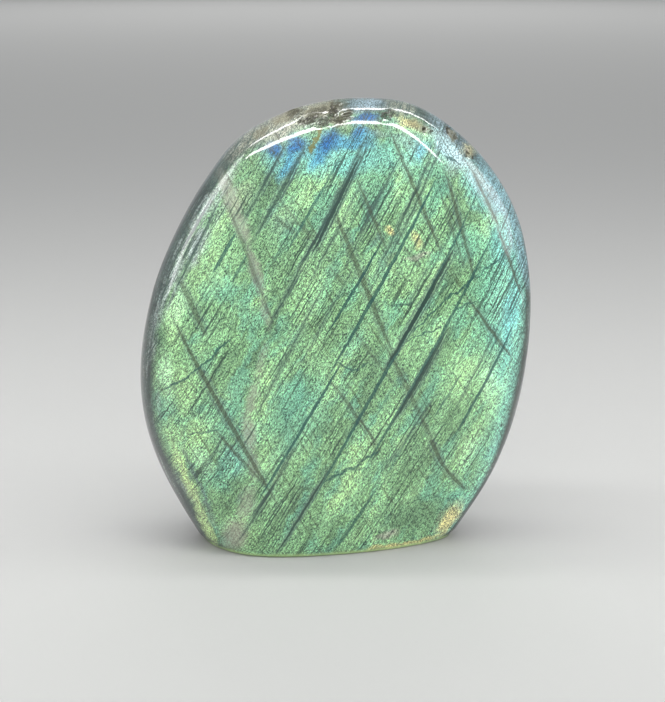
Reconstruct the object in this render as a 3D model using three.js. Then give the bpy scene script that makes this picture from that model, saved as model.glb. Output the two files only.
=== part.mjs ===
// A polished labradorite freeform: one solid stone that stands on a flat sawn base.
// It is ground from a pebble with a domed face, softly bevelled all round, and cut off flat below.
// Millimetres, +Z up, the domed front face looks towards -Y, the origin is the middle of the base.

import * as THREE from 'three';

// Driving dimensions
const height = 149;
const frontSwell = 26; // greatest depth of the front dome, ahead of the rim
const backSwell = 24; // and of the back dome, behind it
const frontFullness = 3.1; // exponent of the dome: 2 is an ellipse, more is flatter with a tighter rim
const backFullness = 2.5;
const crownLean = 5; // the crown stands this far back of the foot of the rim
const footEase = 0.9; // small chamfer where the polished sides meet the sawn base

// The outline of the uncut pebble seen from the front, as [x, z], anticlockwise from the right.
// The points below z = 0 are the part that the saw took off.
const outlineMiddle = [0, 57];
const outlinePoints = [
  [65.5, 71],
  [64.6, 92],
  [59.5, 112],
  [50.2, 128],
  [38, 139.6],
  [24, 147.4],
  [10.5, 149],
  [-3, 148.2],
  [-17, 144.2],
  [-31, 136.4],
  [-42.5, 122.6],
  [-53, 104],
  [-61.2, 84],
  [-65.2, 64],
  [-64.6, 46],
  [-59.3, 26.5],
  [-45.4, 0],
  [-24, -26],
  [0, -35],
  [20, -27],
  [39.8, 0],
  [53.4, 22.5],
  [62, 46],
];

// The front dome stands furthest forward left of the middle and falls away to the right,
// most of all at the foot.
const apexX = -12;
const fallAtFoot = 0.0085; // share of the swell lost for each millimetre to the right of the apex
const fallAbove = 0.0035;
const fallEndsAt = 62; // height above which the gentler fall holds

// Flats left by the grinding wheel. Each takes `depth` off the stone along its normal.
const facets = [
  { name: 'upper left bevel', normal: [-0.56, -0.74, 0.37], depth: 0.7, blend: 5 },
  { name: 'upper right bevel', normal: [0.46, -0.72, 0.5], depth: 0.2, blend: 5 },
  { name: 'right bevel', normal: [0.66, -0.74, 0.1], depth: 0.5, blend: 4 },
  { name: 'lower left bevel', normal: [-0.66, -0.66, -0.36], depth: 1.2, blend: 3 },
  { name: 'left bevel', normal: [-0.68, -0.73, 0.02], depth: 0.7, blend: 4 },
  { name: 'crown back', normal: [-0.16, 0.72, 0.68], depth: 1.4, blend: 2.6 },
  { name: 'back flat', normal: [0.1, 0.99, 0.1], depth: 1.6, blend: 3 },
  { name: 'back left flat', normal: [-0.5, 0.84, 0.2], depth: 1.8, blend: 3 },
  { name: 'back right flat', normal: [0.52, 0.82, -0.2], depth: 2, blend: 3 },
  { name: 'back foot flat', normal: [-0.15, 0.93, -0.34], depth: 1, blend: 3 },
];
const levelBelow = 6; // points lower than this move level under the wheel, so the base stays flat
const freeAbove = 30; // and points higher than this move straight along the normal

// Slight waviness of a face that was polished by hand: plane waves in unlike directions
const waves = [
  { along: [0.8, 0.2, 0.56], length: 47, height: 0.16, start: 0.4 },
  { along: [-0.45, 0.5, 0.74], length: 61, height: 0.2, start: 2.1 },
  { along: [0.3, -0.9, 0.3], length: 29, height: 0.1, start: 4.4 },
  { along: [0.94, 0.3, -0.16], length: 78, height: 0.18, start: 1.3 },
];
const wavesStart = 2; // heights between which the waviness grows from nothing
const wavesFull = 22;
const wavesEnd = 14; // and how far below the crown it starts to fade again
const slabbiness = 3; // the sides swell mostly forwards and backwards, as on a flat slab

// Mesh fineness
const columns = 88;
const rows = 50;
const outlineSamples = 720;
const searchSteps = 50;
const wellOutside = 80; // an x beyond the outline on either side

// The outline as a fine closed polyline around its middle, sorted by direction.
function sampleOutline() {
  const curve = new THREE.CatmullRomCurve3(
    outlinePoints.map(([x, z]) => new THREE.Vector3(x, 0, z)),
    true,
    'centripetal',
  );
  const [middleX, middleZ] = outlineMiddle;
  const samples = curve.getPoints(outlineSamples).slice(0, outlineSamples);
  const crown = Math.max(...samples.map((point) => point.z));
  const stretch = (height - middleZ) / (crown - middleZ);
  const polar = samples.map((point) => {
    const rise = (point.z - middleZ) * (point.z > middleZ ? stretch : 1);
    const run = point.x - middleX;
    return { angle: Math.atan2(rise, run), radius: Math.hypot(rise, run), x: point.x, z: rise + middleZ };
  });
  return polar.sort((a, b) => a.angle - b.angle);
}

const outline = sampleOutline();
const crownPoint = outline.reduce((best, point) => (point.z > best.z ? point : best));

// Distance from the outline's middle to the outline, in the direction of angle.
function outlineRadius(angle) {
  const count = outline.length;
  let low = 0;
  let high = count;
  while (low < high) {
    const half = (low + high) >> 1;
    if (outline[half].angle < angle) low = half + 1;
    else high = half;
  }
  const after = outline[low % count];
  const before = outline[(low + count - 1) % count];
  const fullTurn = 2 * Math.PI;
  const span = (after.angle - before.angle + fullTurn) % fullTurn;
  const share = ((angle - before.angle + fullTurn) % fullTurn) / span;
  return THREE.MathUtils.lerp(before.radius, after.radius, share);
}

// 0 at the outline's middle, 1 on the outline.
function reach(x, z) {
  const run = x - outlineMiddle[0];
  const rise = z - outlineMiddle[1];
  return Math.hypot(run, rise) / outlineRadius(Math.atan2(rise, run));
}

// Where the outline crosses the level z, on the left (side -1) or the right (side 1).
function rimAt(z, side) {
  let inner = THREE.MathUtils.lerp(outlineMiddle[0], crownPoint.x, z / height);
  let outer = side * wellOutside;
  for (let step = 0; step < searchSteps; step++) {
    const tried = (inner + outer) / 2;
    if (reach(tried, z) < 1) inner = tried;
    else outer = tried;
  }
  return inner;
}

// How far the front dome stands ahead of the rim at [x, z], and the back dome behind it.
function frontDepth(x, z) {
  const fall = THREE.MathUtils.lerp(fallAtFoot, fallAbove, THREE.MathUtils.smoothstep(z, 0, fallEndsAt));
  const skew = 1 - fall * (x - apexX);
  return frontSwell * skew * Math.sqrt(Math.max(0, 1 - reach(x, z) ** frontFullness));
}

function backDepth(x, z) {
  return backSwell * Math.sqrt(Math.max(0, 1 - reach(x, z) ** backFullness));
}

// One level ring of the pebble, as points anticlockwise from the right seen from above.
function ring(z, inset = 0) {
  const left = rimAt(z, -1);
  const right = rimAt(z, 1);
  const middle = (left + right) / 2;
  const halfWidth = (right - left) / 2;
  const rimY = crownLean * (z / height) ** 2;
  const points = [];
  for (let column = 0; column < columns; column++) {
    const angle = (column / columns) * 2 * Math.PI;
    const x = middle + halfWidth * Math.cos(angle);
    const isBack = Math.sin(angle) > 0;
    const depth = isBack ? backDepth(x, z) : -frontDepth(x, z);
    const point = new THREE.Vector3(x, rimY + depth, z);
    const outwards = new THREE.Vector3(x - middle, depth, 0).normalize();
    points.push(point.addScaledVector(outwards, -inset));
  }
  return points;
}

// The smaller of two values, with the corner between them rounded over `blend`.
function softMin(a, b, blend) {
  const near = Math.max(blend - Math.abs(a - b), 0) / blend;
  return Math.min(a, b) - (near * near * blend) / 4;
}

// Grinds one flat on the stone.
function grindFacet(points, { normal, depth, blend }) {
  const direction = new THREE.Vector3(...normal).normalize();
  const furthest = Math.max(...points.map((point) => point.dot(direction)));
  const plane = furthest - depth;
  for (const point of points) {
    const along = point.dot(direction);
    const freedom = THREE.MathUtils.smoothstep(point.z, levelBelow, freeAbove);
    const way = direction.clone().setZ(direction.z * freedom);
    const taken = (along - softMin(along, plane, blend)) / direction.dot(way);
    point.addScaledVector(way, -taken);
  }
}

// Waviness, level. It fades out at the sawn base and at the crown.
function roughen(points) {
  for (const point of points) {
    const outwards = new THREE.Vector3(point.x, point.y * slabbiness, 0).normalize();
    const swing = waves.reduce((sum, { along, length, height: rise, start }) => {
      const phase = (2 * Math.PI * point.dot(new THREE.Vector3(...along))) / length + start;
      return sum + rise * Math.sin(phase);
    }, 0);
    const share = THREE.MathUtils.smoothstep(point.z, wavesStart, wavesFull)
      * (1 - THREE.MathUtils.smoothstep(point.z, height - wavesEnd, height));
    point.addScaledVector(outwards, swing * share);
  }
}

// All the rings from the base up. The first is eased in, so the foot has a small chamfer.
function buildRings() {
  const rings = [ring(0, footEase), ring(footEase)];
  for (let row = 1; row < rows; row++) {
    const z = height * Math.sin((row / rows) * (Math.PI / 2));
    rings.push(ring(z));
  }
  return rings;
}

// Joins the rings, the sawn base and the crown into one closed mesh.
function buildStoneGeometry() {
  const rings = buildRings();
  const crown = new THREE.Vector3(crownPoint.x, crownLean, height);
  const points = [...rings.flat(), crown];
  facets.forEach((facet) => grindFacet(points, facet));
  roughen(points);

  const box = new THREE.Box3().setFromPoints(points);
  const middle = box.getCenter(new THREE.Vector3()).setZ(0);
  points.forEach((point) => point.sub(middle));
  const baseMiddle = rings[0].reduce((sum, point) => sum.add(point), new THREE.Vector3());
  baseMiddle.divideScalar(columns).setZ(0);
  points.push(baseMiddle);

  const crownIndex = points.length - 2;
  const baseIndex = points.length - 1;
  const lastRing = (rings.length - 1) * columns;
  const faces = [];
  for (let column = 0; column < columns; column++) {
    const next = (column + 1) % columns;
    faces.push(baseIndex, next, column);
    faces.push(crownIndex, lastRing + column, lastRing + next);
    for (let level = 0; level < rings.length - 1; level++) {
      const below = level * columns;
      const above = below + columns;
      faces.push(below + column, below + next, above + next);
      faces.push(below + column, above + next, above + column);
    }
  }

  const geometry = new THREE.BufferGeometry().setFromPoints(points);
  geometry.setIndex(faces);
  geometry.computeVertexNormals();
  return geometry;
}

const labradorite = new THREE.MeshStandardMaterial({ color: 0x86b48c, roughness: 0.18, metalness: 0.15 });

const stone = new THREE.Mesh(buildStoneGeometry(), labradorite);
stone.name = 'labradorite_stone';

const part = new THREE.Group();
part.name = 'labradorite_freeform';
part.add(stone);

export default part;
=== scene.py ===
# A polished labradorite freeform that stands on its sawn base, on a plain pale floor
import math

import bpy
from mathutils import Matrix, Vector


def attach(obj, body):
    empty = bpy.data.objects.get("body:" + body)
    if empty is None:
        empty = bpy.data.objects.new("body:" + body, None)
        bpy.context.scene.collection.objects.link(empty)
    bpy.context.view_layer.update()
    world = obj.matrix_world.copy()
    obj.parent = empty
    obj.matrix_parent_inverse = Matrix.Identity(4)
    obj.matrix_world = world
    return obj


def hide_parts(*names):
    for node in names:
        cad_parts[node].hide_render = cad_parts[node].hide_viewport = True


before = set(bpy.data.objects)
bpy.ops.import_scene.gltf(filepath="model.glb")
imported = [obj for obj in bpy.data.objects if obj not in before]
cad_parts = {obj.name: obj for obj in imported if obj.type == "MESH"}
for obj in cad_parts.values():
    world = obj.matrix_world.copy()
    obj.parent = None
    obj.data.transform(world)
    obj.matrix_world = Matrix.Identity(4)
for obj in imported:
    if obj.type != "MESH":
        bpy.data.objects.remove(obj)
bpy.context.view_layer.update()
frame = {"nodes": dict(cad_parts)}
mm = 0.001
print('frame loaded:', ', '.join(frame['nodes']))


# Camera, floor and lights

viewSettings = {
    'lens': 85,
    'sensor': 36,
    'aim': (-0.8 * mm, 0, 65.2 * mm),
    'distance': 555 * mm,
    'elevation': 14,  # degrees above the horizon
}


def addCamera(values):
    tilt = math.radians(values['elevation'])
    back = Vector((0, -math.cos(tilt), math.sin(tilt)))
    place = Vector(values['aim']) + back * values['distance']
    bpy.ops.object.camera_add(location=place, rotation=(math.pi / 2 - tilt, 0, 0))
    camera = bpy.context.object
    camera.name = 'viewCamera'
    camera.data.lens = values['lens']
    camera.data.sensor_width = values['sensor']
    bpy.context.scene.camera = camera


# Each light looks at the middle of the stone. Elevations past 90 are behind it.
# A light that isn't mirrored only lifts the shadows.
lightSettings = {
    'crownStrip': {'azimuth': -9, 'elevation': 73, 'distance': 0.6, 'size': (1.26, 0.052), 'glow': 20,
                   'mirrored': True},
    'rearStrip': {'azimuth': 0, 'elevation': 98, 'distance': 0.6, 'size': (1.04, 0.045), 'glow': 18,
                  'mirrored': True},
    'leftSoftbox': {'azimuth': -93, 'elevation': 28, 'distance': 1.0, 'size': (0.11, 0.52), 'glow': 6,
                    'mirrored': True},
    'rightSoftbox': {'azimuth': 84, 'elevation': 22, 'distance': 1.0, 'size': (0.4, 0.78), 'glow': 3,
                     'mirrored': True},
    'frontFill': {'azimuth': 0, 'elevation': 22, 'distance': 5.0, 'size': (3.8, 3.8), 'glow': 2.0,
                  'mirrored': False},
    'backFill': {'azimuth': 180, 'elevation': 30, 'distance': 5.0, 'size': (3.9, 3.9), 'glow': 2.0,
                 'mirrored': False},
}
skySettings = {'colour': (0.95, 0.97, 1.0, 1), 'strength': 0.55}


def addLight(name, values):
    turn = math.radians(values['azimuth'])
    rise = math.radians(values['elevation'])
    away = Vector((math.sin(turn) * math.cos(rise), -math.cos(turn) * math.cos(rise), math.sin(rise)))
    middle = Vector(viewSettings['aim'])
    width, height = values['size']
    bpy.ops.object.light_add(type='AREA', location=middle + away * values['distance'])
    light = bpy.context.object
    light.name = name
    light.rotation_euler = away.to_track_quat('Z', 'Y').to_euler()
    light.data.shape = 'ELLIPSE'
    light.data.size = width
    light.data.size_y = height
    light.data.energy = values['glow'] * math.pi * (width * height * math.pi / 4)
    light.visible_glossy = values['mirrored']


def addSky(values):
    sky = bpy.data.worlds.new('studioSky')
    sky.use_nodes = True
    background = sky.node_tree.nodes['Background']
    background.inputs['Color'].default_value = values['colour']
    background.inputs['Strength'].default_value = values['strength']
    bpy.context.scene.world = sky


floorSettings = {'size': 40, 'colour': (0.42, 0.42, 0.41, 1), 'roughness': 0.9, 'shine': 0.1}


def addFloor(values):
    bpy.ops.mesh.primitive_plane_add(size=values['size'])
    floor = bpy.context.object
    floor.name = 'paleFloor'
    paint = bpy.data.materials.new('palePaper')
    paint.use_nodes = True
    shader = paint.node_tree.nodes['Principled BSDF']
    shader.inputs['Base Color'].default_value = values['colour']
    shader.inputs['Roughness'].default_value = values['roughness']
    shader.inputs['Specular IOR Level'].default_value = values['shine']
    floor.data.materials.append(paint)


addCamera(viewSettings)
addFloor(floorSettings)
addSky(skySettings)
for lightName, lightValues in lightSettings.items():
    addLight(lightName, lightValues)
bpy.context.scene.view_settings.view_transform = 'Standard'
print('studio ready')


# Shader maths in plain Python

class Wire:  # one socket of a node tree: a sum on it adds a Math node
    def __init__(self, shading, socket):
        self.shading = shading
        self.socket = socket

    def work(self, operation, *values):
        return self.shading.add('ShaderNodeMath', {'operation': operation}, dict(enumerate(values)))

    def __add__(self, other):
        return self.work('ADD', self, other)

    __radd__ = __add__

    def __sub__(self, other):
        return self.work('SUBTRACT', self, other)

    def __rsub__(self, other):
        return self.work('SUBTRACT', other, self)

    def __mul__(self, other):
        return self.work('MULTIPLY', self, other)

    __rmul__ = __mul__

    def __truediv__(self, other):
        return self.work('DIVIDE', self, other)

    def __rtruediv__(self, other):
        return self.work('DIVIDE', other, self)

    def __or__(self, other):  # the stronger of two masks
        return self.work('MAXIMUM', self, other)

    __ror__ = __or__


class Shading:  # a material, and the one way that nodes are added to it
    def __init__(self, name):
        self.material = bpy.data.materials.new(name)
        self.material.use_nodes = True
        self.tree = self.material.node_tree
        self.shader = self.tree.nodes['Principled BSDF']

    def add(self, kind, settings, values, output=0):
        node = self.tree.nodes.new(kind)
        for name, setting in settings.items():
            if name == 'stops':
                self.setStops(node.color_ramp, setting)
            else:
                setattr(node, name, setting)
        for name, value in values.items():
            self.feed(node.inputs[name], value)
        return Wire(self, node.outputs[output])

    def setStops(self, ramp, stops):
        while len(ramp.elements) < len(stops):
            ramp.elements.new(1)
        for element, (place, colour) in zip(ramp.elements, stops):
            element.position = place
            element.color = colour

    def feed(self, socket, value):
        if isinstance(value, Wire):
            self.tree.links.new(value.socket, socket)
        else:
            socket.default_value = value

    def finish(self, **values):  # sets the shader's own sockets, with blanks for underlines
        for name, value in values.items():
            self.feed(self.shader.inputs[name.replace('_', ' ')], value)
        return self.material

    def millimetres(self):  # the object's own coordinates, in mm
        place = self.add('ShaderNodeTexCoord', {}, {}, 'Object')
        return self.add('ShaderNodeVectorMath', {'operation': 'SCALE'}, {0: place, 'Scale': 1 / mm})

    def local(self, place, middle, turn, reach):  # the place as seen from a turned and stretched middle
        turn = [math.radians(angle) for angle in turn]
        values = {'Vector': place, 'Location': middle, 'Rotation': turn, 'Scale': reach}
        return self.add('ShaderNodeMapping', {'vector_type': 'TEXTURE'}, values)

    def noise(self, place, middle=(0, 0, 0), turn=(0, 0, 0), reach=(1, 1, 1), detail=2, roughness=0.5,
              output=0):
        values = {'Vector': self.local(place, middle, turn, reach), 'Scale': 1, 'Detail': detail,
                  'Roughness': roughness}
        return self.add('ShaderNodeTexNoise', {}, values, output)

    def step(self, value, low, high, full=1):  # rises smoothly from 0 at low to full at high
        values = {'Value': value, 'From Min': low, 'From Max': high, 'To Max': full}
        return self.add('ShaderNodeMapRange', {'interpolation_type': 'SMOOTHSTEP', 'clamp': False}, values)

    def oval(self, place, middle, turn, reach, edge, full=1):  # full in an oval, 0 outside it
        place = self.local(place, middle, turn, reach)
        inside = self.add('ShaderNodeTexGradient', {'gradient_type': 'SPHERICAL'}, {'Vector': place}, 'Fac')
        return self.step(inside, 0, edge, full)

    def push(self, place, noise, amount):  # moves a place about by a coloured noise
        centred = self.add('ShaderNodeVectorMath', {'operation': 'SUBTRACT'}, {0: noise, 1: (0.5, 0.5, 0.5)})
        return self.add('ShaderNodeVectorMath', {'operation': 'MULTIPLY_ADD'},
                        {0: centred, 1: (amount, amount, amount), 2: place})

    def split(self, vector):
        return [self.add('ShaderNodeSeparateXYZ', {}, {'Vector': vector}, axis) for axis in 'XYZ']

    def blend(self, share, under, over):  # sockets 6 and 7 and output 2 are the colours of the Mix node
        return self.add('ShaderNodeMix', {'data_type': 'RGBA'}, {0: share, 6: under, 7: over}, 2)

    def ramp(self, value, *stops):
        return self.add('ShaderNodeValToRGB', {'stops': stops}, {'Fac': value})


def shade(red, green, blue):  # a colour as a paint program gives it, 0 to 255
    def linear(value):
        value /= 255
        return value / 12.92 if value <= 0.04045 else ((value + 0.055) / 1.055) ** 2.4
    return (linear(red), linear(green), linear(blue), 1)


# The stone's shape

stoneShape = {
    'mergeWithin': 0.01 * mm,
    'crownSpan': 30,  # quads across the patch that closes the crown
    'edgeSupport': 0.35 * mm,  # loop that keeps the sawn edge crisp
    'baseNormal': -0.99,  # faces that look down more than this are the sawn base
    'baseSpan': 26,
    'levels': 2,  # of subdivision
    'pitDepth': 1.1 * mm,
    'pitNoise': 1.6 * mm,
    'pitSpread': 1.3,  # how far past its oval a pit fades out
    'pitsAheadOf': 4 * mm,  # the back of the crown has none
    'rippleDepth': 0.05 * mm,  # faint waves that the polishing left
    'rippleNoise': 7 * mm,
    'rippleStart': 3 * mm,
    'rippleGrowth': 8 * mm,
    'chipDepth': 0.9 * mm,
    'chipNoise': 3.5 * mm,
    'chipHeight': 1.3 * mm,
    'smoothAngle': 60,
}

# Pits in the crown: x, z, half width, half height, turn from upright
pits = [
    (-0.6, 144.9, 1.8, 3.2, 10),
    (0.4, 147, 1.2, 2.4, 75),
    (-8.3, 142.6, 1.4, 3.6, 70),
    (-13, 144.6, 1.0, 3, 70),
    (3.8, 144, 1.2, 2.4, 70),
    (-3.6, 142.4, 1.2, 2.2, 60),
    (16.7, 144, 1.4, 2.4, 75),
    (28.6, 139.4, 1.1, 1.3, 0),
    (36.7, 138.8, 1.2, 1.7, 30),
    (42.9, 131.3, 1.2, 1.3, 0),
]


def openForEdit(piece):
    bpy.ops.object.select_all(action='DESELECT')
    piece.select_set(True)
    bpy.context.view_layer.objects.active = piece
    bpy.ops.object.mode_set(mode='EDIT')


def pick(piece, kind, wanted):  # selects the vertices or faces that pass a test, by place or normal
    bpy.ops.mesh.select_mode(type=kind)
    bpy.ops.mesh.select_all(action='DESELECT')
    bpy.ops.object.mode_set(mode='OBJECT')
    parts = piece.data.vertices if kind == 'VERT' else piece.data.polygons
    for part in parts:
        part.select = wanted(part)
    bpy.ops.object.mode_set(mode='EDIT')


def pickOpenEdge():
    bpy.ops.mesh.select_mode(type='EDGE')
    bpy.ops.mesh.select_all(action='DESELECT')
    bpy.ops.mesh.select_non_manifold(use_wire=False, use_multi_face=False, use_non_contiguous=False,
                                     use_verts=False)


def closeCrown(piece, values):  # the fan of slivers round the crown's pole becomes a grid of quads
    pole = max(piece.data.vertices, key=lambda point: point.co.z).co.copy()
    pick(piece, 'VERT', lambda point: (point.co - pole).length < values['mergeWithin'])
    bpy.ops.mesh.delete(type='VERT')
    pickOpenEdge()
    bpy.ops.mesh.fill_grid(span=values['crownSpan'])


def closeBase(piece, values):  # the sawn face gets a thin border and a grid
    level = values['mergeWithin']
    pick(piece, 'FACE', lambda face: face.normal.z < values['baseNormal'] and face.center.z < level)
    bpy.ops.mesh.delete(type='FACE')
    pickOpenEdge()
    bpy.ops.mesh.edge_face_add()
    bpy.ops.mesh.inset(thickness=values['edgeSupport'])
    bpy.ops.mesh.delete(type='ONLY_FACE')
    pickOpenEdge()
    bpy.ops.mesh.fill_grid(span=values['baseSpan'])


def keepFacing(piece):  # the flash depends on where the surface looks
    facing = piece.data.attributes.new('facing', 'FLOAT_VECTOR', 'POINT')
    for point, spot in zip(piece.data.vertices, facing.data):
        spot.vector = point.normal


def pitWeight(point):
    if point.y > stoneShape['pitsAheadOf']:
        return 0
    nearest = 1
    for x, z, halfWidth, halfHeight, turn in pits:
        lean = math.radians(turn)
        run = point.x / mm - x
        rise = point.z / mm - z
        along = run * math.sin(lean) + rise * math.cos(lean)
        aside = run * math.cos(lean) - rise * math.sin(lean)
        away = math.hypot(aside / halfWidth, along / halfHeight)
        nearest = min(nearest, away / stoneShape['pitSpread'])
    return 1 - nearest


def chipWeight(point):  # a narrow belt just above the sawn edge
    belt = stoneShape['chipHeight']
    return max(0, 1 - abs(point.z - belt) / belt)


def rippleWeight(point):
    return max(0, min(1, (point.z - stoneShape['rippleStart']) / stoneShape['rippleGrowth']))


def dent(piece, name, weight, depth, size, kind='CLOUDS'):  # presses noise inwards where weight allows
    group = piece.vertex_groups.new(name=name)
    for point in piece.data.vertices:
        share = weight(point.co)
        if share > 0:
            group.add([point.index], share, 'REPLACE')
    noise = bpy.data.textures.new(name, kind)
    noise.noise_scale = size
    push = piece.modifiers.new(name, 'DISPLACE')
    push.texture = noise
    push.texture_coords = 'LOCAL'
    push.vertex_group = group.name
    push.mid_level = 0
    push.strength = -depth
    bpy.ops.object.modifier_apply(modifier=push.name)
    piece.vertex_groups.clear()


def makeStone(values):
    mesh = frame['nodes']['labradorite_stone'].data.copy()
    stone = bpy.data.objects.new('polished_stone', mesh)
    bpy.context.collection.objects.link(stone)
    openForEdit(stone)
    bpy.ops.mesh.select_all(action='SELECT')
    bpy.ops.mesh.remove_doubles(threshold=values['mergeWithin'])
    closeCrown(stone, values)
    closeBase(stone, values)
    bpy.ops.mesh.select_all(action='SELECT')
    bpy.ops.mesh.tris_convert_to_quads(face_threshold=math.pi, shape_threshold=math.pi)
    bpy.ops.mesh.normals_make_consistent(inside=False)
    bpy.ops.object.mode_set(mode='OBJECT')
    rounding = stone.modifiers.new('rounding', 'SUBSURF')
    rounding.levels = rounding.render_levels = values['levels']
    bpy.ops.object.modifier_apply(modifier=rounding.name)
    keepFacing(stone)
    dent(stone, 'pits', pitWeight, values['pitDepth'], values['pitNoise'])
    dent(stone, 'ripples', rippleWeight, values['rippleDepth'], values['rippleNoise'])
    dent(stone, 'chips', chipWeight, values['chipDepth'], values['chipNoise'], 'STUCCI')
    bpy.ops.object.shade_smooth_by_angle(angle=math.radians(values['smoothAngle']))
    return stone


stone = makeStone(stoneShape)
print('stone shaped:', len(stone.data.polygons), 'faces')


# The stone's finish. Places are x and z on the front face in mm, turns are degrees from upright.

tints = {
    'moss': shade(102, 138, 102),
    'grass': shade(126, 168, 120),
    'leaf': shade(138, 184, 136),
    'lime': shade(168, 210, 150),
    'lemon': shade(190, 218, 152),
    'mint': shade(186, 232, 182),
    'frost': shade(190, 222, 226),
    'teal': shade(98, 172, 154),
    'aqua': shade(130, 206, 200),
    'azure': shade(84, 156, 186),
    'cobalt': shade(36, 96, 152),
    'steel': shade(128, 150, 160),
    'slate': shade(92, 116, 112),
    'mist': shade(168, 164, 152),
    'ash': shade(158, 160, 142),
    'straw': shade(206, 196, 136),
    'ice': shade(134, 176, 184),
    'tan': shade(106, 106, 54),
    'rust': shade(110, 104, 78),
    'umber': shade(40, 38, 26),
    'pine': shade(36, 62, 56),
    'sea': shade(24, 78, 76),
    'mud': shade(60, 66, 44),
    'night': shade(24, 36, 34),
    'body': shade(64, 82, 74),
    'glarePearl': shade(178, 192, 186),
    'cave': shade(20, 62, 104),
    'reef': shade(34, 100, 92),
    'saw': shade(112, 118, 112),
}

# Soft patches of one colour: tint, x, z, half width, half height, turn, strength
facePatches = [
    ('lime', -42, 97, 9, 15, 30, 0.55),
    ('lime', -52, 78, 5, 14, -5, 0.8),
    ('lime', -49, 58, 7, 12, -10, 0.7),
    ('lime', -46, 40, 7, 11, -20, 0.6),
    ('lime', -30, 10, 9, 10, 0, 0.4),
    ('aqua', -33, 34, 7, 9, -30, 0.3),
    ('lime', -8, 88, 9, 20, 30, 0.3),
    ('lime', 24, 92, 7, 9, 30, 0.4),
    ('lime', 20, 72, 8, 5, 30, 0.3),
    ('lime', 43, 36, 6, 18, 30, 0.5),
    ('lime', 54, 52, 4, 12, 20, 0.6),
    ('lime', -14, 40, 12, 10, 0, 0.3),
    ('mint', -55, 60, 3.6, 13, -3, 0.7),
    ('mint', -50.5, 84, 3.6, 10, 20, 0.55),
    ('mint', -43, 33, 4.5, 9, -20, 0.5),
    ('mint', 50.5, 60, 4.5, 13, 8, 0.6),
    ('mint', 53, 84, 5, 12, 0, 0.55),
    ('mint', 45, 34, 4.5, 11, 22, 0.5),
    ('mint', 28, 138.8, 2.8, 9, -58, 0.6),
    ('frost', 38.5, 130.5, 5, 10, -46, 0.65),
    ('teal', -38, 48, 8, 12, -30, 0.35),
    ('teal', -12, 50, 12, 20, 30, 0.45),
    ('teal', 38, 16, 9, 8, 30, 0.4),
    ('teal', -38, 28, 7, 6, 30, 0.35),
    ('teal', 12, 122, 10, 12, 30, 0.3),
    ('teal', 42, 104, 9, 9, 30, 0.45),
    ('teal', 50, 84, 9, 30, 0, 0.5),
    ('aqua', 2, 131, 7, 30, 88, 0.6),
    ('aqua', 26, 132, 9, 5, -40, 0.5),
    ('aqua', 46, 120, 5, 12, -30, 0.6),
    ('aqua', 54, 102, 5, 14, -20, 0.5),
    ('aqua', 58, 80, 4.5, 18, 5, 0.8),
    ('moss', 28, 32, 12, 14, 20, 0.4),
    ('moss', 27, 12, 9, 19, 85, 0.85),
    ('mist', -33, 8, 6, 8, 0, 0.35),
    ('lime', -22, 36, 8, 11, 0, 0.35),
    ('lime', 44, 62, 7, 16, 30, 0.45),
    ('moss', -4, 10, 12, 8, 80, 0.25),
    ('moss', -20, 102, 8, 12, 30, 0.35),
    ('slate', -17, 112, 8, 5, -50, 0.4),
    ('slate', 13, 107, 4, 2.5, -60, 0.4),
    ('mist', 27, 100.5, 1.5, 6, 78, 0.6),
    ('azure', -6, 135, 5, 20, 80, 0.45),
    ('aqua', -20, 131, 5, 6.5, 30, 0.6),
    ('steel', -19, 136, 1.8, 9.5, 67, 0.55),
    ('steel', 14, 139, 2.4, 5, 90, 0.45),
    ('ice', 24, 135.5, 4, 9, -62, 0.45),
    ('cobalt', -19.5, 133.8, 4.4, 3.6, 30, 0.95),
    ('azure', -14.5, 129.5, 3.2, 7.5, 30, 0.8),
    ('cobalt', -12.6, 135, 3.6, 4.4, 30, 0.9),
    ('azure', -5.2, 132.4, 3.4, 6.5, 35, 0.8),
    ('cobalt', -1.8, 135.6, 4.4, 6.6, 40, 1.0),
    ('azure', 5, 137, 3.4, 9, 66, 0.8),
    ('azure', 9, 137.5, 6.5, 5, 30, 0.7),
    ('cobalt', 7, 139.6, 2.2, 5, 80, 0.7),
    ('cobalt', 9.8, 143.6, 2.6, 7.5, 88, 1.0),
    ('ice', 47, 123, 5, 17, -34, 0.75),
    ('ice', 36, 133.5, 4.5, 9, -50, 0.65),
    ('azure', 40.8, 132.1, 3.4, 3.6, 0, 0.7),
    ('azure', 27, 133.5, 5.5, 4, 60, 0.45),
    ('moss', -27, 125, 6, 10, 40, 0.45),
    ('ash', -30, 119, 5, 8, 50, 0.35),
    ('lemon', -47.6, 22, 2.8, 24, -20, 0.8),
    ('straw', 24, 142, 2.6, 8, -62, 0.85),
    ('straw', 18, 109, 2.1, 1.9, 0, 0.85),
    ('straw', 26, 105.5, 4, 2.6, 60, 0.6),
    ('straw', 38.5, 8, 4.6, 11, 24, 0.9),
    ('rust', 34.5, 10, 1.4, 6, 28, 0.45),
    ('mud', 31.5, 33, 2.6, 5, -30, 0.35),
    ('mud', 27, 20, 1.8, 7, -25, 0.3),
    ('mud', 20, 10, 1.4, 8, -12, 0.3),
    ('rust', 17, 6, 2.4, 5, 60, 0.4),
]

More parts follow.
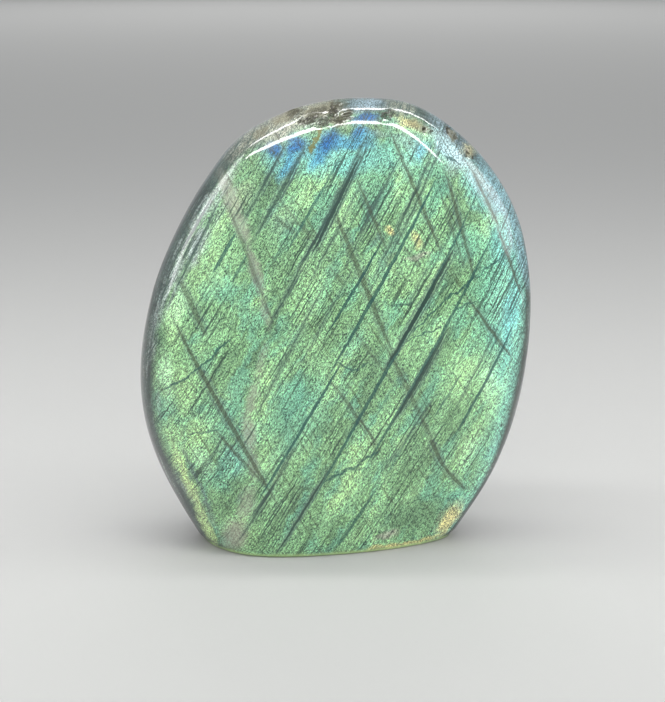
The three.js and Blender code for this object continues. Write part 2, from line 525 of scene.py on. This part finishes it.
# and the same past the edge of the face, on the rim
rimPatches = [
    ('ash', -14, 142.8, 6.2, 22, 68, 0.8),
    ('ash', -30, 134, 4, 9, 48, 0.5),
    ('ash', -16, 139.2, 3.2, 11, 66, 0.9),
    ('mist', -2, 142, 2.2, 8, 82, 0.6),
    ('steel', 10.5, 147, 2.4, 8, 90, 0.85),
    ('ash', 21, 146.4, 2.6, 7, -75, 0.5),
    ('steel', 38, 138, 4.5, 14, -48, 0.7),
    ('frost', 36, 134.5, 4, 11, -50, 0.6),
    ('ice', 54, 118, 5.5, 22, -32, 0.9),
    ('ice', 61, 98, 3.5, 16, -14, 0.6),
    ('straw', 43.5, 132.5, 3, 3.6, -50, 0.5),
    # painted highlight: a pale line along the sawn edge, as where it catches light
    ('straw', 22, 1.4, 1.8, 22, 86, 0.9),
    ('straw', 39, 7, 3, 9, 26, 0.7),
    ('mist', 17, 6, 2.4, 6, 70, 0.6),
    ('lemon', -47.4, 21, 2.6, 24, -20, 0.7),
    ('lemon', -42.5, 6, 3, 9, -28, 0.8),
    ('slate', -44.8, 25, 1.3, 22, -21, 0.8),
]

# Painted reflections: pale streaks along the upper rims, as glare from the side lights, in the same order
glarePatches = [
    ('glarePearl', -45.5, 103, 4.6, 38, 29, 0.95),
    ('glarePearl', -60, 72, 2.6, 20, 12, 0.3),
    ('ice', 57, 108, 4, 28, -24, 0.8),
    ('glarePearl', 48, 122, 2.2, 16, -42, 0.5),
]

# Ragged stains and pits: x, z, half width, half height, turn, strength
darkStains = [
    (-0.6, 145.1, 1.6, 3.6, 8, 1.0),
    (0.6, 142.8, 1.2, 3.4, 82, 0.9),
    (0.4, 147, 1.2, 2.6, 75, 0.9),
    (-8.3, 142.6, 2.0, 5, 70, 0.95),
    (-13, 144.6, 1.3, 4, 70, 0.8),
    (3.8, 144, 1.8, 3.4, 70, 0.8),
    (-3.6, 142.4, 1.8, 3.4, 60, 0.9),
    (-5.5, 145.4, 1.2, 4, 76, 0.7),
    (16.7, 144, 1.9, 3.2, 75, 0.9),
    (28.6, 139.4, 0.9, 1.1, 0, 1.0),
    (31, 138.6, 0.7, 0.8, 0, 0.9),
    (36.7, 138.8, 1.0, 1.5, 30, 0.95),
    (39, 136.8, 0.7, 1.1, -40, 0.7),
    (42.9, 131.3, 0.8, 0.9, 0, 1.0),
    (44.8, 130.2, 0.7, 0.8, 0, 0.95),
]
brownStains = [
    (-4, 145.6, 2.6, 9, 78, 0.55),
    (-16, 143.6, 2.0, 7, 68, 0.6),
    (-24, 138.6, 1.6, 4, 58, 0.5),
    (2, 143.4, 2.6, 5, 70, 0.6),
    (27, 140.6, 1.8, 5.5, -62, 0.6),
    (38, 137.4, 1.6, 3.2, -48, 0.6),
    (44, 131.6, 1.8, 2.4, -40, 0.4),
]

# Twin planes, cracks and veins show as thin lines: foot x, foot z, head x, head z, half width, strength
darkLines = [
    (-52, 87, -36, 118, 0.42, 0.7),
    (-30, 110, -14, 137, 0.5, 0.6),
    (-26, 106, -8, 136, 0.65, 0.7),
    (-23, 76, 13, 142, 0.5, 0.65),
    (-8, 101, 9, 133, 0.7, 0.95),
    (-5, 104, 12, 137, 0.35, 0.7),
    (11, 92, 34, 136, 0.5, 0.6),
    (13, 92, 36, 136, 0.4, 0.55),
    (15, 63, 40, 105, 0.75, 0.9),
    (20, 69, 42, 106, 0.3, 0.6),
    (18, 45, 37, 78, 0.7, 0.85),
    (21, 48, 38, 78, 0.3, 0.5),
    (-20, 1, -2, 32, 0.5, 0.85),
    (15, 28, 32, 54, 0.4, 0.5),
    (-33, 4, -12, 42, 0.45, 0.5),
    (-27, 48, -3, 94, 0.45, 0.5),
    (39, 49, 61, 89, 0.35, 0.5),
    (-13, 64, 8, 102, 0.3, 0.45),
    (-9, 92, 10, 126, 0.35, 0.5),
    (2, 96, 22, 133, 0.35, 0.5),
    (-44, 28, -36, 44, 0.3, 0.4),
    (23, 84, 30, 98, 0.4, 0.5),
]
brownLines = [
    (-50, 93, -41, 75, 0.8, 0.5),
    (-53, 82, -19, 19, 0.65, 0.65),
    (-40, 46, -23, 26, 0.5, 0.55),
    (-34, 118, -20, 80, 0.5, 0.4),
    (18, 141, 35, 100, 0.5, 0.6),
    (7, 126, 17, 102, 0.5, 0.5),
    (-1, 118, 19, 68, 0.75, 0.55),
    (16, 73, 33, 38, 0.7, 0.45),
    (31, 41, 37, 28, 0.65, 0.6),
    (36, 30, 45, 19, 0.6, 0.6),
    (36, 128, 46, 91, 0.5, 0.6),
    (34, 122, 43, 94, 0.35, 0.4),
    (-3, 63, 14, 39, 0.45, 0.45),
    (45, 128, 55, 107, 0.45, 0.7),
    (53.5, 109, 63, 85, 0.45, 0.7),
    (43, 87, 60, 64, 0.45, 0.7),
    (-20, 122, 0, 98, 0.4, 0.35),
    (4, 80, 20, 58, 0.4, 0.35),
    (-19, 114, -11, 107, 0.6, 0.4),
    (-11, 107, -4, 108, 0.6, 0.35),
    (-2, 98, 3, 92, 0.6, 0.35),
    (3, 105, 8, 96, 0.6, 0.4),
    (22, 104, 28, 97, 0.5, 0.4),
]
tealLines = [
    (-39, 95, -31, 109, 0.5, 0.8),
    (-33, 93, -28, 102, 0.4, 0.6),
    (-16, 102, 3, 133, 0.4, 0.7),
    (-4, 60, 35, 128, 0.5, 0.85),
    (-3, 76, 15, 106, 0.45, 0.8),
    (-9, 18, 46, 118, 0.5, 0.8),
    (8, 28, 54, 110, 0.5, 0.75),
    (-26, 20, 4, 71, 0.45, 0.85),
    (39, 39, 61, 78, 0.45, 0.85),
    (32, 47, 42, 63, 0.4, 0.6),
    (0, 2, 14, 24, 0.5, 0.7),
    (14, 22, 27, 47, 0.4, 0.45),
    (44, 56, 62, 86, 0.35, 0.5),
    (-21, 31, -8, 52, 0.3, 0.4),
]
cracks = [
    (-57, 55, -43, 66, 0.45, 0.8),
    (-45, 64, -33, 76, 0.5, 0.8),
    (-49, 43, -37, 45.5, 0.35, 0.6),
    (17, 85, 26, 86, 0.35, 0.5),
    (23, 74, 36, 78, 0.35, 0.7),
    (24, 76, 37, 88, 0.4, 0.8),
    (35, 86, 47, 94, 0.4, 0.8),
    (45, 92, 60, 103, 0.4, 0.75),
    (38, 83, 47, 86, 0.35, 0.6),
    (0, 67, 8, 64, 0.35, 0.7),
    (6, 64, 11, 67, 0.35, 0.7),
    (-4, 27, 9, 33, 0.6, 0.75),
    (7, 33, 15, 37, 0.55, 0.7),
    (-2, 30, 10, 31, 0.4, 0.5),
    (36.4, 131.4, 42.8, 128, 0.4, 0.8),
]
goldVeins = [
    (-7.8, 133.4, -5.6, 135.6, 1.1, 0.9),
    (-6.6, 134.6, -4.6, 138, 0.6, 0.9),
    (-5, 137, -3, 140.6, 0.75, 0.9),
]
paleBand = [  # a pinkish band that wanders down the left third
    (-36, 128, -29.5, 109, 2.6, 0.7),
    (-33, 120, -27, 103, 2.4, 0.7),
    (-28.5, 108, -22.5, 86, 1.7, 0.65),
    (-24, 91, -21, 77, 1.4, 0.5),
    (-22, 76, -26, 60, 1.4, 0.4),
    (-25, 63, -29.5, 47, 1.8, 0.6),
    (-29.4, 53, -27, 35, 2.3, 0.7),
    (-27.4, 41, -26.5, 26, 1.8, 0.5),
    (-27, 28, -32, 11, 2.8, 0.6),
    (-30, 16, -36.5, -1, 3.6, 0.75),
]

look = {
    'lean': 31,  # degrees from upright of the grain and of most twin planes
    'crossLean': -31,  # and of the planes that cross them
    'brushLean': 33,  # and of the brush marks and specks
    'scratchLean': 29,
    'slant': 4,  # degrees that the streaks are turned about the upright
    'planeSlant': 5,  # and the planes, which run slightly askew through the stone
    'faceDepth': -20,  # y of the front face
    'through': 1000,  # reach of a patch or plane, right through the stone
    'overlap': 1.1,  # a line's oval is longer than the line, because it fades at its ends
    'patchEdge': 0.8,  # share of an oval over which it fades, from its edge inwards
    'spotEdge': 0.5,
    'lineEdge': 0.3,
    'bandEdge': 0.7,
    'bandSpread': 1.5,  # times the half widths given above
    'brownSpread': 1.3,
    'tealSpread': 1.35,
    'brownHalo': 3.2,
    'darkHalo': 2.8,
    'haloShare': 0.55,
    'bandShare': 0.3,  # strength of the pale band on the back, and what the front adds
    'bandFrontShare': 0.5,
    'stainShare': 0.35,  # strength of the dark stains between their hairs
    'ground': 0.3,  # tone of the stone before the streaks, brush marks and dust are added
    'wander': 7,  # how far, in mm, the places of a pattern are pushed about, so that its edges wander
    'jagged': 3.2,
    'steady': 0.9,
    'torn': 4.5,
    'rimGlints': 15,  # how many painted glint streaks the rim has for each unit by which the surface turns back
    'rimGlintHeight': 16,  # in mm
    'rimGlintLength': 30,
    'glareStreaks': 22,  # and the same for its painted glare streaks
    'glareStreakHeight': 18,
    'roughness': 0.32,
    'dullRoughness': 0.4,  # added in the pits and on the sawn base
    'dullCoat': 0.9,  # and taken off the coat there
    'coatRoughness': 0.05,
    'specular': 0.3,
    'bumpStrength': 0.3,
    'bumpDistance': 0.2 * mm,
}

# Each noise's middle and the reach of one of its clouds are in mm, and its turn is in degrees
noises = {
    'drift': {'reach': (6, 6, 6), 'detail': 3, 'roughness': 0.6},
    'shiver': {'reach': (3.5, 3.5, 3.5), 'detail': 3, 'roughness': 0.6},
    'fray': {'reach': (1.6, 1.6, 1.6), 'detail': 3, 'roughness': 0.7},
    'cloud': {'turn': (0, look['lean'], 0), 'reach': (7, 14, 22), 'detail': 4},
    'cool': {'middle': (31, 7, 5), 'turn': (0, look['lean'], 0), 'reach': (6, 14, 16), 'detail': 3},
    'haze': {'reach': (9, 9, 14), 'detail': 4, 'roughness': 0.6},
    'glow': {'middle': (5, 0, 9), 'turn': (0, look['crossLean'], 0), 'reach': (15, 20, 24), 'detail': 3},
    'rimGlints': {'detail': 2, 'roughness': 0.6},
    'glareStreaks': {'detail': 3, 'roughness': 0.7},
    'streaks': {'turn': (0, look['lean'], look['slant']), 'reach': (0.8, 9, 9)},
    'brush': {'turn': (0, look['brushLean'], look['slant']), 'reach': (0.26, 1, 1), 'detail': 1},
    'dust': {'reach': (0.28, 0.28, 0.28), 'detail': 1},
    'specks': {'turn': (0, look['brushLean'], 3), 'reach': (0.25, 0.6, 0.6), 'detail': 1},
    'sheaves': {'middle': (9, 0, 40), 'turn': (0, look['lean'], 0), 'reach': (16, 30, 26)},
    'planes': {'turn': (0, look['lean'], look['planeSlant']), 'reach': (0.55, 14, 30), 'detail': 1},
    'scratches': {'turn': (0, look['scratchLean'], look['planeSlant']), 'reach': (0.32, 14, 9), 'detail': 1},
    'crossing': {'turn': (0, look['crossLean'], look['planeSlant']), 'reach': (0.5, 14, 22), 'detail': 1},
    'hairs': {'turn': (0, 68, 0), 'reach': (0.7, 1, 1.8), 'roughness': 0.6},
    'kerfs': {'turn': (0, 0, 8), 'reach': (60, 0.8, 60)},
}

# Where each mask begins and where it is full, and how strong it is there if not 1
spans = {
    'cool': (0.48, 0.66, 0.4),
    'glow': (0.42, 0.56, 0.85),
    'rimGlints': (0.52, 0.72, 0.35),
    'glareStreaks': (0.38, 0.6),
    'streaks': (0.32, 0.68, 0.38),
    'brush': (0.42, 0.57, 1.0),
    'dust': (0.44, 0.57, 0.8),
    'specks': (0.56, 0.61, 0.9),
    'sheaves': (0.4, 0.58),
    'planes': (0.55, 0.66, 0.85),
    'scratches': (0.6, 0.72, 0.6),
    'crossing': (0.61, 0.72, 0.5),
    'hairs': (0.34, 0.5, 0.65),
    'kerfs': (0.35, 0.65, 0.35),
    # by how far the surface looks forwards, back, right or up
    'flash': (0.6, 0.75),
    'behind': (0.55, 0.85),
    'front': (0.5, 0.2),
    'rimBegins': (-0.82, -0.66),
    'rimEnds': (0.35, 0.1),
    'aquaSide': (0.4, 0.66, 0.5),
    'rightShoulderShade': (0.4, 0.6, 0.22),
    'rightEdgeShade': (0.55, 0.82, 0.6),
    'leftEdgeShade': (-0.7, -0.9, 0.5),
    'crown': (0.15, 0.6, 0.3),
    'sawn': (-0.9, -0.97),
    # by place, in mm
    'shoulderHeight': (85, 110),
    'edgeHeight': (82, 55),
    'rightHalf': (0, 45, 0.1),
    'foot': (1.7, 0.5, 0.8),
}

gradients = {
    'flash': ((0.3, 'moss'), (0.44, 'grass'), (0.56, 'leaf'), (0.7, 'lime')),
    'bare': ((0.32, 'night'), (0.66, 'body')),
    'backFlash': ((0.46, 'cave'), (0.58, 'reef'), (0.7, 'moss')),
}


def noiseMask(shading, place, name):
    return shading.step(shading.noise(place, **noises[name]), *spans[name])


def gradient(shading, value, name):
    return shading.ramp(value, *[(place, tints[tint]) for place, tint in gradients[name]])


def paintPatches(shading, place, colour, patches, share=1):
    for tint, x, z, halfWidth, halfHeight, turn, strength in patches:
        reach = (halfWidth, look['through'], halfHeight)
        mask = shading.oval(place, (x, 0, z), (0, turn, 0), reach, look['patchEdge'], strength)
        colour = shading.blend(mask * share, colour, tints[tint])
    return colour


def spotMask(shading, place, spots):
    mask = 0
    for x, z, halfWidth, halfHeight, turn, strength in spots:
        reach = (halfWidth, look['through'], halfHeight)
        mask = shading.oval(place, (x, 0, z), (0, turn, 0), reach, look['spotEdge'], strength) | mask
    return mask


def lineMask(shading, place, lines, spread=1, edge=look['lineEdge']):
    mask = 0
    for footX, footZ, headX, headZ, halfWidth, strength in lines:
        middle = ((footX + headX) / 2, look['faceDepth'], (footZ + headZ) / 2)
        lean = math.degrees(math.atan2(headX - footX, headZ - footZ))
        half = math.hypot(headX - footX, headZ - footZ) / 2
        reach = (halfWidth * spread, look['through'], half * look['overlap'])
        mask = shading.oval(place, middle, (0, lean, look['planeSlant']), reach, edge, strength) | mask
    return mask


def surveyStone(shading):  # the places and directions that the finish is drawn by
    place = shading.millimetres()
    facing = shading.add('ShaderNodeAttribute', {'attribute_name': 'facing'}, {}, 'Vector')
    where = {'place': place}
    where['toRight'], where['toBack'], where['toTop'] = shading.split(facing)
    where['across'], _, where['height'] = shading.split(place)
    where['front'] = shading.step(where['toBack'], *spans['front'])
    drift = shading.noise(place, **noises['drift'], output='Color')
    shiver = shading.noise(place, **noises['shiver'], output='Color')
    fray = shading.noise(place, **noises['fray'], output='Color')
    for name, noise in (('wander', drift), ('jagged', shiver), ('steady', shiver), ('torn', fray)):
        where[name] = shading.push(place, noise, look[name])
    return where


def flashedFace(shading, where):  # greens of the face, drawn out along the grain
    colour = gradient(shading, shading.noise(where['wander'], **noises['cloud']), 'flash')
    colour = shading.blend(noiseMask(shading, where['wander'], 'cool'), colour, tints['teal'])
    colour = paintPatches(shading, where['wander'], colour, facePatches)
    return shading.blend(shading.step(where['toRight'], *spans['aquaSide']), colour, tints['aqua'])


def bareStone(shading, where):  # dark, and on the back with a weaker flash of its own
    bare = gradient(shading, shading.noise(where['place'], **noises['haze']), 'bare')
    glow = shading.noise(where['wander'], **noises['glow'])
    behind = shading.step(where['toBack'], *spans['behind']) * shading.step(glow, *spans['glow'])
    return shading.blend(behind, bare, gradient(shading, glow, 'backFlash'))


def dressRim(shading, where, colour):  # painted reflections: pale streaks all round the rim, as of polishing facets catching light, and the front's patches and painted glare streaks
    toBack = where['toBack']
    height = where['height']
    # painted reflection: pale glint streaks on the rim
    rimGlints = shading.add('ShaderNodeCombineXYZ', {}, {'X': toBack * look['rimGlints'],
                                                      'Y': height / look['rimGlintHeight'],
                                                      'Z': where['across'] / look['rimGlintLength']})
    rim = shading.step(toBack, *spans['rimBegins']) * shading.step(toBack, *spans['rimEnds'])
    colour = shading.blend(noiseMask(shading, rimGlints, 'rimGlints') * rim, colour, tints['glarePearl'])
    colour = paintPatches(shading, where['wander'], colour, rimPatches, where['front'])
    # painted reflection: glare from the side lights, broken into streaks
    glareStreakPlace = shading.add('ShaderNodeCombineXYZ', {}, {'X': toBack * look['glareStreaks'],
                                                       'Z': height / look['glareStreakHeight']})
    share = noiseMask(shading, glareStreakPlace, 'glareStreaks') * where['front']
    return paintPatches(shading, where['wander'], colour, glarePatches, share)


# Painted shade: the crown, the right shoulder and the far left and right edges are darkened, as where less
# light falls
def paintEdgeShade(shading, where, tone):  # the crown and the sides are dimmer, the right half a little brighter
    toRight = where['toRight']
    height = where['height']
    shoulderShade = shading.step(toRight, *spans['rightShoulderShade'])
    shoulderShade = shoulderShade * shading.step(height, *spans['shoulderHeight'])
    tone = tone * (1 - shading.step(where['toTop'], *spans['crown'])) * (1 - shoulderShade)
    tone = tone * (1 + shading.step(where['across'], *spans['rightHalf']))
    rightEdgeShade = shading.step(toRight, *spans['rightEdgeShade']) * shading.step(height, *spans['edgeHeight'])
    return tone * (1 - (rightEdgeShade | shading.step(toRight, *spans['leftEdgeShade'])))


def addGrain(shading, where, colour, brush):  # fine streaks, dust and dark specks
    place = where['place']
    tone = look['ground'] + noiseMask(shading, place, 'streaks') + shading.step(brush, *spans['brush'])
    # painted shade at the crown and the edges goes into the tone here
    tone = paintEdgeShade(shading, where, tone + noiseMask(shading, place, 'dust'))
    colour = shading.add('ShaderNodeVectorMath', {'operation': 'SCALE'}, {0: colour, 'Scale': tone})
    return shading.blend(noiseMask(shading, place, 'specks'), colour, tints['pine'])


def drawPlanes(shading, where, colour):  # pale band, twin planes and cracks
    steady = where['steady']
    jagged = where['jagged']
    pale = lineMask(shading, jagged, paleBand, look['bandSpread'], look['bandEdge'])
    pale = pale * (look['bandShare'] + look['bandFrontShare'] * where['front'])
    colour = shading.blend(pale, colour, tints['mist'])
    fine = noiseMask(shading, where['place'], 'sheaves') * noiseMask(shading, steady, 'planes')
    colour = shading.blend(fine, colour, tints['pine'])
    colour = shading.blend(noiseMask(shading, steady, 'scratches'), colour, tints['pine'])
    colour = shading.blend(noiseMask(shading, steady, 'crossing'), colour, tints['mud'])
    halo = lineMask(shading, steady, brownLines, look['brownHalo'])
    halo = halo | lineMask(shading, steady, darkLines, look['darkHalo'])
    colour = shading.blend(halo * look['haloShare'], colour, tints['slate'])
    brown = lineMask(shading, steady, brownLines, look['brownSpread'])
    colour = shading.blend(brown, colour, tints['mud'])
    teal = lineMask(shading, steady, tealLines, look['tealSpread'])
    colour = shading.blend(teal, colour, tints['sea'])
    colour = shading.blend(lineMask(shading, jagged, cracks), colour, tints['sea'])
    return shading.blend(lineMask(shading, steady, darkLines), colour, tints['pine'])


def stainCrown(shading, where, colour, pitted):  # golden veins, brown stains and dark pits
    torn = where['torn']
    front = where['front']
    colour = shading.blend(lineMask(shading, torn, goldVeins) * front, colour, tints['tan'])
    colour = shading.blend(spotMask(shading, torn, brownStains) * front, colour, tints['rust'])
    hairy = look['stainShare'] + noiseMask(shading, torn, 'hairs')
    return shading.blend(pitted * hairy, colour, tints['umber'])


def dressFoot(shading, where, colour, sawn):  # the foot's edge catches light, the base is matt and pale
    # painted highlight: a pale line along the foot's edge, as where it catches light
    foot = shading.step(where['height'], *spans['foot']) * where['front']
    colour = shading.blend(foot, colour, tints['lemon'])
    cut = shading.blend(noiseMask(shading, where['place'], 'kerfs'), tints['saw'], tints['body'])
    return shading.blend(sawn, colour, cut)


def stoneFinish():
    shading = Shading('polishedLabradorite')
    where = surveyStone(shading)
    colour = flashedFace(shading, where)
    towards = shading.step(0 - where['toBack'], *spans['flash'])
    colour = shading.blend(towards, bareStone(shading, where), colour)
    colour = dressRim(shading, where, colour)
    brush = shading.noise(where['place'], **noises['brush'])
    colour = addGrain(shading, where, colour, brush)
    colour = drawPlanes(shading, where, colour)
    pitted = spotMask(shading, where['torn'], darkStains) * where['front']
    colour = stainCrown(shading, where, colour, pitted)
    sawn = shading.step(where['toTop'], *spans['sawn'])
    colour = dressFoot(shading, where, colour, sawn)
    dull = sawn | pitted
    relief = shading.add('ShaderNodeBump', {}, {'Strength': look['bumpStrength'],
                                                'Distance': look['bumpDistance'], 'Height': brush})
    return shading.finish(Base_Color=colour, Roughness=look['roughness'] + look['dullRoughness'] * dull,
                          Coat_Weight=1 - look['dullCoat'] * dull, Coat_Roughness=look['coatRoughness'],
                          Specular_IOR_Level=look['specular'], Normal=relief)


stone.data.materials.clear()
stone.data.materials.append(stoneFinish())
print('stone finished')

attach(stone, 'root')
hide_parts('labradorite_stone')
